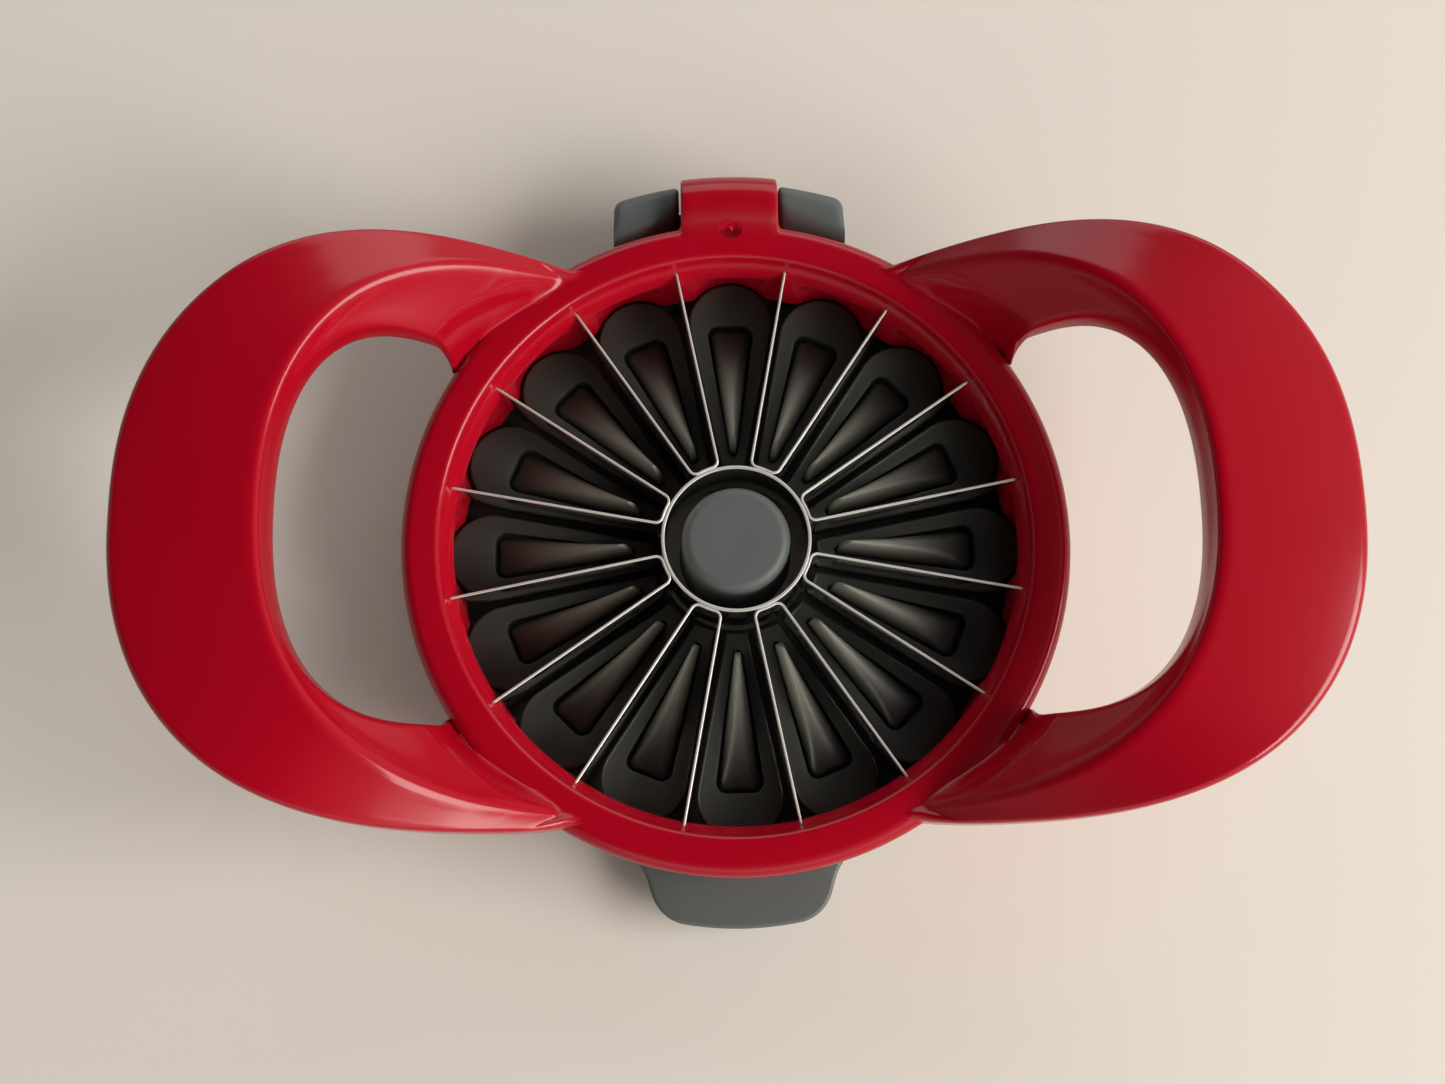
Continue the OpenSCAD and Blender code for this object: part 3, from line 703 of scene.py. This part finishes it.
# %% Base ring, pads and pin
PADS, PAD_RADIUS = 4, 53.6  # how many pads, and how far out they stand
tray_loop = np.concatenate([
    [[50.0, PLATE_FOOT], [49.8, 5.8], [49.8, 1.2], [50.0, BASE_FOOT]],
    arc((57.2, 1.8), 0.8, -90, 0, 6), arc((57.4, 9.1), 0.6, 0, 90, 6),
    [[54.2, 9.7], [54.15, PLATE_FOOT], [50.0, PLATE_FOOT]]])
tray = turned(tray_loop, 256)
piece("base_ring", [tray], "base", "grey_plastic", ["base_tray"], closed=False)
pad_loop = np.array([[0, 2.15], [3.25, 2.15], [3.25, 0.45], [3.12, 0.12], [2.8, 0.0], [0, 0.0]])
for k in range(PADS):
    a, node_name = math.radians(45 + 90 * k), f"foot_pad_{k + 1}"
    pad = turned(pad_loop, 40) + [PAD_RADIUS * math.cos(a), PAD_RADIUS * math.sin(a), 0]
    piece(f"{node_name}_round", [pad], "base", "pad_rubber", [node_name], closed=False)
pin_line = np.array([-20.7, -20.5, -20.2, 20.2, 20.5, 20.7])[:, None]
pin_r = np.array([1.0, 1.3, 1.5, 1.5, 1.3, 1.0])[:, None]
a = np.linspace(0, 2 * np.pi, 33)[:-1]
pin_grid = np.stack([
    np.broadcast_to(pin_line, (len(pin_line), len(a))),
    HINGE_Y + pin_r * np.cos(a), HINGE_Z + pin_r * np.sin(a)], -1)
piece("hinge_pin_steel", [pin_grid], "base", "pin_steel", ["hinge_pin"])

# %% [markdown]
# The front tab, where a thumb holds the base, is a bowed plate with hollow flanks that sweep into
# the base. Its outline is a loop of arcs; copies of it, moved inwards along their normals while
# they rise, round the edges.

# %% Front tab
TAB_REACH, TAB_BACK_R = 68.2, 56.6
TAB_EDGE, TAB_EDGE_START = 0.7, 8.95  # rounding of the top edge, and the height where it begins


def tab_outline():
    """Hollow leaning flank, round corner, bowed front, mirrored, and back along a circle."""
    root, corner, slant = 8.0, 7.5, 16
    flank = arc((24.64, -61.8), root, 110, 180 - slant, 10)
    bend = arc((9.0, -59.9), corner, -slant, -76, 14)
    bend_x, bend_y = bend[-1]
    x = np.linspace(bend_x, 0, 9)[1:]
    front = np.stack([x, -TAB_REACH + (bend_y + TAB_REACH) * (x / bend_x) ** 2], 1)
    right = np.concatenate([flank, bend, front])
    left = right[-2::-1] * [-1, 1]
    end = math.degrees(math.atan2(left[-1, 1], left[-1, 0]))
    back = arc((0, 0), TAB_BACK_R, end % 360, (180 - end) % 360, 16)
    return np.concatenate([right, left, back])


def tab_grid():
    """The outline at rising heights, drawn in at its foot and round its top edge."""
    line = tab_outline()
    foot = ((-0.6, 6.1), (-0.15, 6.25), (0, 6.7), (0, TAB_EDGE_START))
    loops = [level(outset(line, d), z) for d, z in foot]
    for t in np.radians([20, 40, 60, 78, 90]):
        inner = outset(line, TAB_EDGE * (math.cos(t) - 1))
        loops.append(level(inner, TAB_EDGE_START + TAB_EDGE * math.sin(t)))
    return np.stack(loops)


piece("front_tab_moulded", [tab_grid()], "base", "grey_plastic", ["front_tab"])

# %% [markdown]
# A knuckle is a rounded block beside the lug. Its back follows a circle about the ring's axis, and
# its front leaves room for the ring's wall, which swings round the pin when the frame opens. A
# section in height and depth is worked out at every station along the pin and its corners are
# rounded.

# %% Knuckles
KNUCKLE_FROM, KNUCKLE_TO = 9.5, 21.9
INNER_EDGE, OUTER_EDGE = 1.1, 1.6  # rounding of the two ends
KNUCKLE_FOOT_R, KNUCKLE_BACK_R, KNUCKLE_TOP = 57.9, 71.1, 21.4
RING_GAP = 0.4  # kept clear of the ring's wall as it swings
# For each corner of the section: the size of its rounding, and its number of points.
KNUCKLE_ROUND = [0.4, 1.8, 4.2, 2.2, 3.2, 0.6, 0.2]
KNUCKLE_STEPS = [4, 6, 12, 9, 8, 4, 3]


def section_corner(y, z):
    """One corner of the section at all stations: its y and its height."""
    return np.stack([y, np.full_like(y, z)], 1)


def knuckle_stations():
    """Places along the pin, and how far the section is drawn in at each."""
    x0, x1 = KNUCKLE_FROM + INNER_EDGE, KNUCKLE_TO - OUTER_EDGE
    t = np.radians([0, 22, 45, 68, 90])
    inner = np.stack([x0 - INNER_EDGE * np.cos(t), INNER_EDGE * np.sin(t) - INNER_EDGE], 1)
    t = np.radians([0, 18, 36, 54, 72, 90])
    outer = np.stack([x1 + OUTER_EDGE * np.sin(t), OUTER_EDGE * np.cos(t) - OUTER_EDGE], 1)
    middle = np.linspace(x0, x1, 10)[1:-1]
    middle = np.stack([middle, 0 * middle], 1)
    return np.concatenate([inner, middle, outer]).T


def knuckle_grid():
    """Sections (y, z) from the base's circle to the back circle, drawn in at both ends."""
    x, draw = knuckle_stations()
    hollow = FILLET_Y - np.sqrt(np.clip(LUG_FILLET**2 - (FILLET_X - x) ** 2, 0, None))
    fillet_end = FILLET_X * RING_R / (RING_R + LUG_FILLET)
    wall = np.maximum(np.sqrt(RING_R**2 - x**2), np.where(x < fillet_end, hollow, 0))
    clear = HINGE_Y - wall - RING_GAP
    up, down = KNUCKLE_TOP - HINGE_Z, 5.3  # from the pin's height to the top, and to the tray
    y_tray, y_back = np.sqrt(KNUCKLE_FOOT_R**2 - x**2), np.sqrt(KNUCKLE_BACK_R**2 - x**2)
    y_front = HINGE_Y - np.sqrt(np.clip(clear**2 - up**2, 0, None))
    y_low = HINGE_Y - np.sqrt(clear**2 - down**2)
    corners = np.stack([
        section_corner(y_tray, BASE_FOOT), section_corner(y_back, BASE_FOOT),
        section_corner(y_back, KNUCKLE_TOP), section_corner(y_front, KNUCKLE_TOP),
        section_corner(HINGE_Y - clear, HINGE_Z),
        section_corner(y_low, 9.75), section_corner(y_tray, 9.6)], 1)
    rows = []
    for xi, d, loop in zip(x, draw, rounded(corners, KNUCKLE_ROUND, KNUCKLE_STEPS)):
        share = smoothstep((loop[:, :1] - 60.0) / 3)
        loop = loop + (outset(loop, d) - loop) * share
        rows.append(np.concatenate([np.full((len(loop), 1), xi), loop], 1))
    return np.stack(rows)


block = knuckle_grid()
for side, grid in (("right", block), ("left", block * MIRROR)):
    knuckle_node = f"{side}_knuckle"
    piece(f"{knuckle_node}_block", [grid], "base", "grey_plastic", [knuckle_node], crease=45)

# %% [markdown]
# Finishes. The red is a glossy moulded plastic: a deep colour, a clear shine and very faint flow
# waves. The base parts are matt plastics with a fine spark texture, grey outside; in the fingers
# the colour is painted near black, as painted shade of the deep spaces between the legs. The steel
# is bright, with grinding lines. Shared effects are node groups: grain gives a height and a
# roughness that vary in fine spots, and soft tone gives a slow change of colour, so that no
# surface is one flat colour.

# %% Shared node groups
FLOAT, COLOUR, VECTOR = "NodeSocketFloat", "NodeSocketColor", "NodeSocketVector"
COLOUR_MIX = ("RGBA", 6, 7, 2)  # data type of a Mix node; its sockets A, B and Result
NUMBER_MIX = ("FLOAT", 2, 3, 0)


def group(name, inputs, outputs):
    """An empty shader node group with float, colour or vector sockets."""
    tree = bpy.data.node_groups.new(name, "ShaderNodeTree")
    for key, kind, value in inputs:
        socket = tree.interface.new_socket(key, in_out="INPUT", socket_type=kind)
        socket.default_value = value
    for key, kind in outputs:
        tree.interface.new_socket(key, in_out="OUTPUT", socket_type=kind)
    return tree, tree.nodes.new("NodeGroupInput"), tree.nodes.new("NodeGroupOutput")


def node(tree, kind, **settings):
    """A new node with some of its settings changed."""
    n = tree.nodes.new(kind)
    for key, value in settings.items():
        setattr(n, key, value)
    return n


grain_tree, gi, go = group(
    "fine_grain",
    [("Vector", VECTOR, (0, 0, 0)), ("Size", FLOAT, 1800.0),
     ("Roughness", FLOAT, 0.4), ("Spread", FLOAT, 0.08)],
    [("Height", FLOAT), ("Roughness", FLOAT)])
noise = node(grain_tree, "ShaderNodeTexNoise")
noise.inputs["Detail"].default_value = 3.0
spread = node(grain_tree, "ShaderNodeMath", operation="MULTIPLY")
shifted = node(grain_tree, "ShaderNodeMath", operation="SUBTRACT")
total = node(grain_tree, "ShaderNodeMath", operation="ADD")
shifted.inputs[1].default_value = 0.5
link = grain_tree.links.new
link(gi.outputs["Vector"], noise.inputs["Vector"])
link(gi.outputs["Size"], noise.inputs["Scale"])
link(noise.outputs["Fac"], shifted.inputs[0])
link(shifted.outputs[0], spread.inputs[0])
link(gi.outputs["Spread"], spread.inputs[1])
link(spread.outputs[0], total.inputs[0])
link(gi.outputs["Roughness"], total.inputs[1])
link(total.outputs[0], go.inputs["Roughness"])
link(noise.outputs["Fac"], go.inputs["Height"])

tone_tree, ti, to = group(
    "soft_tone",
    [("Vector", VECTOR, (0, 0, 0)), ("Dark", COLOUR, (0, 0, 0, 1)),
     ("Light", COLOUR, (1, 1, 1, 1)), ("Size", FLOAT, 25.0)],
    [("Color", COLOUR)])
slow = node(tone_tree, "ShaderNodeTexNoise")
slow.inputs["Detail"].default_value = 2.0
mix_type, mix_a, mix_b, mix_result = COLOUR_MIX
mix = node(tone_tree, "ShaderNodeMix", data_type=mix_type)
link = tone_tree.links.new
link(ti.outputs["Vector"], slow.inputs["Vector"])
link(ti.outputs["Size"], slow.inputs["Scale"])
link(slow.outputs["Fac"], mix.inputs["Factor"])
link(ti.outputs["Dark"], mix.inputs[mix_a])
link(ti.outputs["Light"], mix.inputs[mix_b])
link(mix.outputs[mix_result], to.inputs["Color"])
print("groups:", [g.name for g in bpy.data.node_groups])

# %% [markdown]
# A finish is a Principled shader with its plain numbers set on its own sockets, and the two groups
# feeding its colour, its roughness and a Bump. The helper takes the numbers that differ.

# %% Finish helper
BUMP_HEIGHT = 0.0001  # metres


def srgb(code):
    """A hex colour as linear RGBA."""
    v = [int(code[i:i + 2], 16) / 255 for i in (0, 2, 4)]
    linear = [c / 12.92 if c <= 0.04045 else ((c + 0.055) / 1.055) ** 2.4 for c in v]
    return (*linear, 1.0)


def finish(name, dark, light, rough, spread, size, bump,
           stretch=(1, 1, 1), tone_size=25.0, **plain):
    """A material: two tones, roughness and its spread, grain size and bump, and plain numbers."""
    mat = bpy.data.materials.new(name)
    mat.use_nodes = True
    t = mat.node_tree
    shader = t.nodes["Principled BSDF"]
    for key, value in plain.items():
        shader.inputs[key.replace("_", " ")].default_value = value
    coords = node(t, "ShaderNodeTexCoord")
    mapping = node(t, "ShaderNodeMapping")
    mapping.inputs["Scale"].default_value = stretch
    grain, tone = node(t, "ShaderNodeGroup"), node(t, "ShaderNodeGroup")
    raised = node(t, "ShaderNodeBump")
    grain.node_tree, tone.node_tree = grain_tree, tone_tree
    grain.inputs["Size"].default_value = size
    grain.inputs["Roughness"].default_value = rough
    grain.inputs["Spread"].default_value = spread
    tone.inputs["Dark"].default_value = srgb(dark)
    tone.inputs["Light"].default_value = srgb(light)
    tone.inputs["Size"].default_value = tone_size
    raised.inputs["Strength"].default_value = bump
    raised.inputs["Distance"].default_value = BUMP_HEIGHT
    links = t.links.new
    links(coords.outputs["Object"], mapping.inputs["Vector"])
    links(mapping.outputs["Vector"], grain.inputs["Vector"])
    links(coords.outputs["Object"], tone.inputs["Vector"])
    links(tone.outputs["Color"], shader.inputs["Base Color"])
    links(grain.outputs["Roughness"], shader.inputs["Roughness"])
    links(grain.outputs["Height"], raised.inputs["Height"])
    links(raised.outputs["Normal"], shader.inputs["Normal"])
    return mat


RED = finish("red_gloss_plastic", "9E041A", "A8081F", 0.16, 0.05, 900.0, 0.04, IOR=1.4)
GREY = finish("grey_matt_plastic", "545957", "5B605D", 0.5, 0.12, 2600.0, 0.35)
# The fingers are grey plastic like the base; this near-black colour is painted shade for the deep
# spaces between the legs.
FINGER_PAINTED_SHADE = finish("finger_painted_shade", "1E1F1D", "232422", 0.42, 0.12, 2400.0, 0.3)
STEEL = finish("ground_blade_steel", "E6E5DE", "F0EFE9", 0.16, 0.06, 700.0, 0.02,
               stretch=(1, 1, 0.05), Metallic=1.0)
PIN = finish("bright_pin_steel", "BEBFBF", "D0D1D1", 0.3, 0.1, 900.0, 0.1,
             stretch=(0.05, 1, 1), Metallic=1.0)
RUBBER = finish("black_rubber", "1C1D1D", "242525", 0.7, 0.15, 1800.0, 0.4)
FINISH_OF = {
    "red_plastic": RED, "grey_plastic": GREY, "finger_plastic": FINGER_PAINTED_SHADE,
    "blade_steel": STEEL, "pin_steel": PIN, "pad_rubber": RUBBER}
print("finishes:", sorted(FINISH_OF))

# %% [markdown]
# Two finishes change with height. The fingers' colour is painted shade and light: near black low
# down between the legs, paling to a light grey at the raised wedge tips. The ground top edges of
# the steel are rougher than its bright sides. A group turns the height of a point, read from Object
# coordinates, into a mask from nought to one between two levels.

# %% Height mask
mask_tree, mi, mo = group(
    "height_mask",
    [("Vector", VECTOR, (0, 0, 0)), ("From", FLOAT, 0.0), ("To", FLOAT, 1.0)],
    [("Mask", FLOAT)])
parts = node(mask_tree, "ShaderNodeSeparateXYZ")
level_map = node(mask_tree, "ShaderNodeMapRange", interpolation_type="SMOOTHSTEP")
link = mask_tree.links.new
link(mi.outputs["Vector"], parts.inputs[0])
link(parts.outputs["Z"], level_map.inputs["Value"])
link(mi.outputs["From"], level_map.inputs["From Min"])
link(mi.outputs["To"], level_map.inputs["From Max"])
link(level_map.outputs["Result"], mo.inputs["Mask"])


def blend_with_height(mat, low, high, socket, mix_kind, value):
    """Blend a value over what feeds a shader socket, from none at low to all at high, in metres."""
    kind, a, b, result = mix_kind
    t = mat.node_tree
    shader = t.nodes["Principled BSDF"]
    was = shader.inputs[socket].links[0].from_socket
    coords = next(n for n in t.nodes if n.type == "TEX_COORD")
    mask, blend = node(t, "ShaderNodeGroup"), node(t, "ShaderNodeMix", data_type=kind)
    mask.node_tree = mask_tree
    mask.inputs["From"].default_value, mask.inputs["To"].default_value = low, high
    blend.inputs[b].default_value = value
    t.links.new(coords.outputs["Object"], mask.inputs["Vector"])
    t.links.new(mask.outputs["Mask"], blend.inputs["Factor"])
    t.links.new(was, blend.inputs[a])
    t.links.new(blend.outputs[result], shader.inputs[socket])


# Painted shade and light on the fingers: near black up to 11.7 mm, paling to light grey by 19 mm,
# so the raised wedge tips look lit.
blend_with_height(FINGER_PAINTED_SHADE, 0.0117, 0.019, "Base Color", COLOUR_MIX, srgb("88887D"))
blend_with_height(STEEL, 0.0237, 0.0239, "Roughness", NUMBER_MIX, 0.55)
print("height masks on:", FINGER_PAINTED_SHADE.name, STEEL.name)

# %% [markdown]
# Every piece takes the finish of its material slot. No CAD node shows by itself: the pieces stand
# for all of them.

# %% Put the finishes on
dressed = [o for o in bpy.context.scene.objects if o.type == "MESH" and "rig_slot" in o]
for item in dressed:
    item.data.materials.clear()
    item.data.materials.append(FINISH_OF[item["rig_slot"]])
print("pieces with a finish:", len(dressed))

# %% [markdown]
# The object stands on a plain pale floor under soft studio light: a large warm lamp on the right is
# the key, and two wide fills stand behind and in front. The surround is pale near the horizon,
# where the gloss mirrors it, and dark overhead, so that flat tops show their own colour.

# %% Floor, lamps and surround
REACH = 3  # half the floor's width, in metres
WARM, NEUTRAL = (1.0, 0.97, 0.93), (1, 1, 1)
UP = (-0.42, 0.1, 0.9)  # the direction in which the surround is darkest
HORIZON, OVERHEAD = (0.35, "E0DEDA"), (0.85, "1C1C1C")  # place along the ramp, and colour
SURROUND_STRENGTH = 0.7
floor_mesh = bpy.data.meshes.new("floor")
corners = [(-REACH, -REACH, 0), (REACH, -REACH, 0), (REACH, REACH, 0), (-REACH, REACH, 0)]
floor_mesh.from_pydata(corners, [], [(0, 1, 2, 3)])
floor = bpy.data.objects.new("floor", floor_mesh)
bpy.context.scene.collection.objects.link(floor)
FLOOR = finish("pale_floor", "DED6CB", "E4DCD2", 0.9, 0.1, 900.0, 0.1, tone_size=3.0)
floor.data.materials.append(FLOOR)


def lamp(name, place, width, height, power, colour=NEUTRAL):
    """A rectangular area lamp at a place, facing the middle of the base."""
    data = bpy.data.lights.new(name, "AREA")
    data.shape, data.size, data.size_y = "RECTANGLE", width, height
    data.energy, data.color = power, colour
    item = bpy.data.objects.new(name, data)
    item.location = place
    item.rotation_euler = (-Vector(place)).to_track_quat("-Z", "Y").to_euler()
    bpy.context.scene.collection.objects.link(item)


lamp("key_right", (1.2, -0.44, 0.84), 1.2, 0.8, 28.0, WARM)
lamp("fill_back", (0.2, 1.35, 0.7), 2.0, 0.8, 7)
lamp("fill_front", (0.2, -1.4, 0.7), 2.0, 0.8, 3)
world = bpy.data.worlds.new("surround")
world.use_nodes = True
sky = world.node_tree
direction = node(sky, "ShaderNodeTexCoord")
height = node(sky, "ShaderNodeVectorMath", operation="DOT_PRODUCT")
height.inputs[1].default_value = UP
ramp = node(sky, "ShaderNodeValToRGB")
for stop, (place, code) in zip(ramp.color_ramp.elements, (HORIZON, OVERHEAD)):
    stop.position, stop.color = place, srgb(code)
sky.links.new(direction.outputs["Generated"], height.inputs[0])
sky.links.new(height.outputs["Value"], ramp.inputs["Fac"])
sky.links.new(ramp.outputs["Color"], sky.nodes["Background"].inputs["Color"])
sky.nodes["Background"].inputs["Strength"].default_value = SURROUND_STRENGTH
bpy.context.scene.world = world
bpy.context.scene.view_settings.view_transform = "Standard"
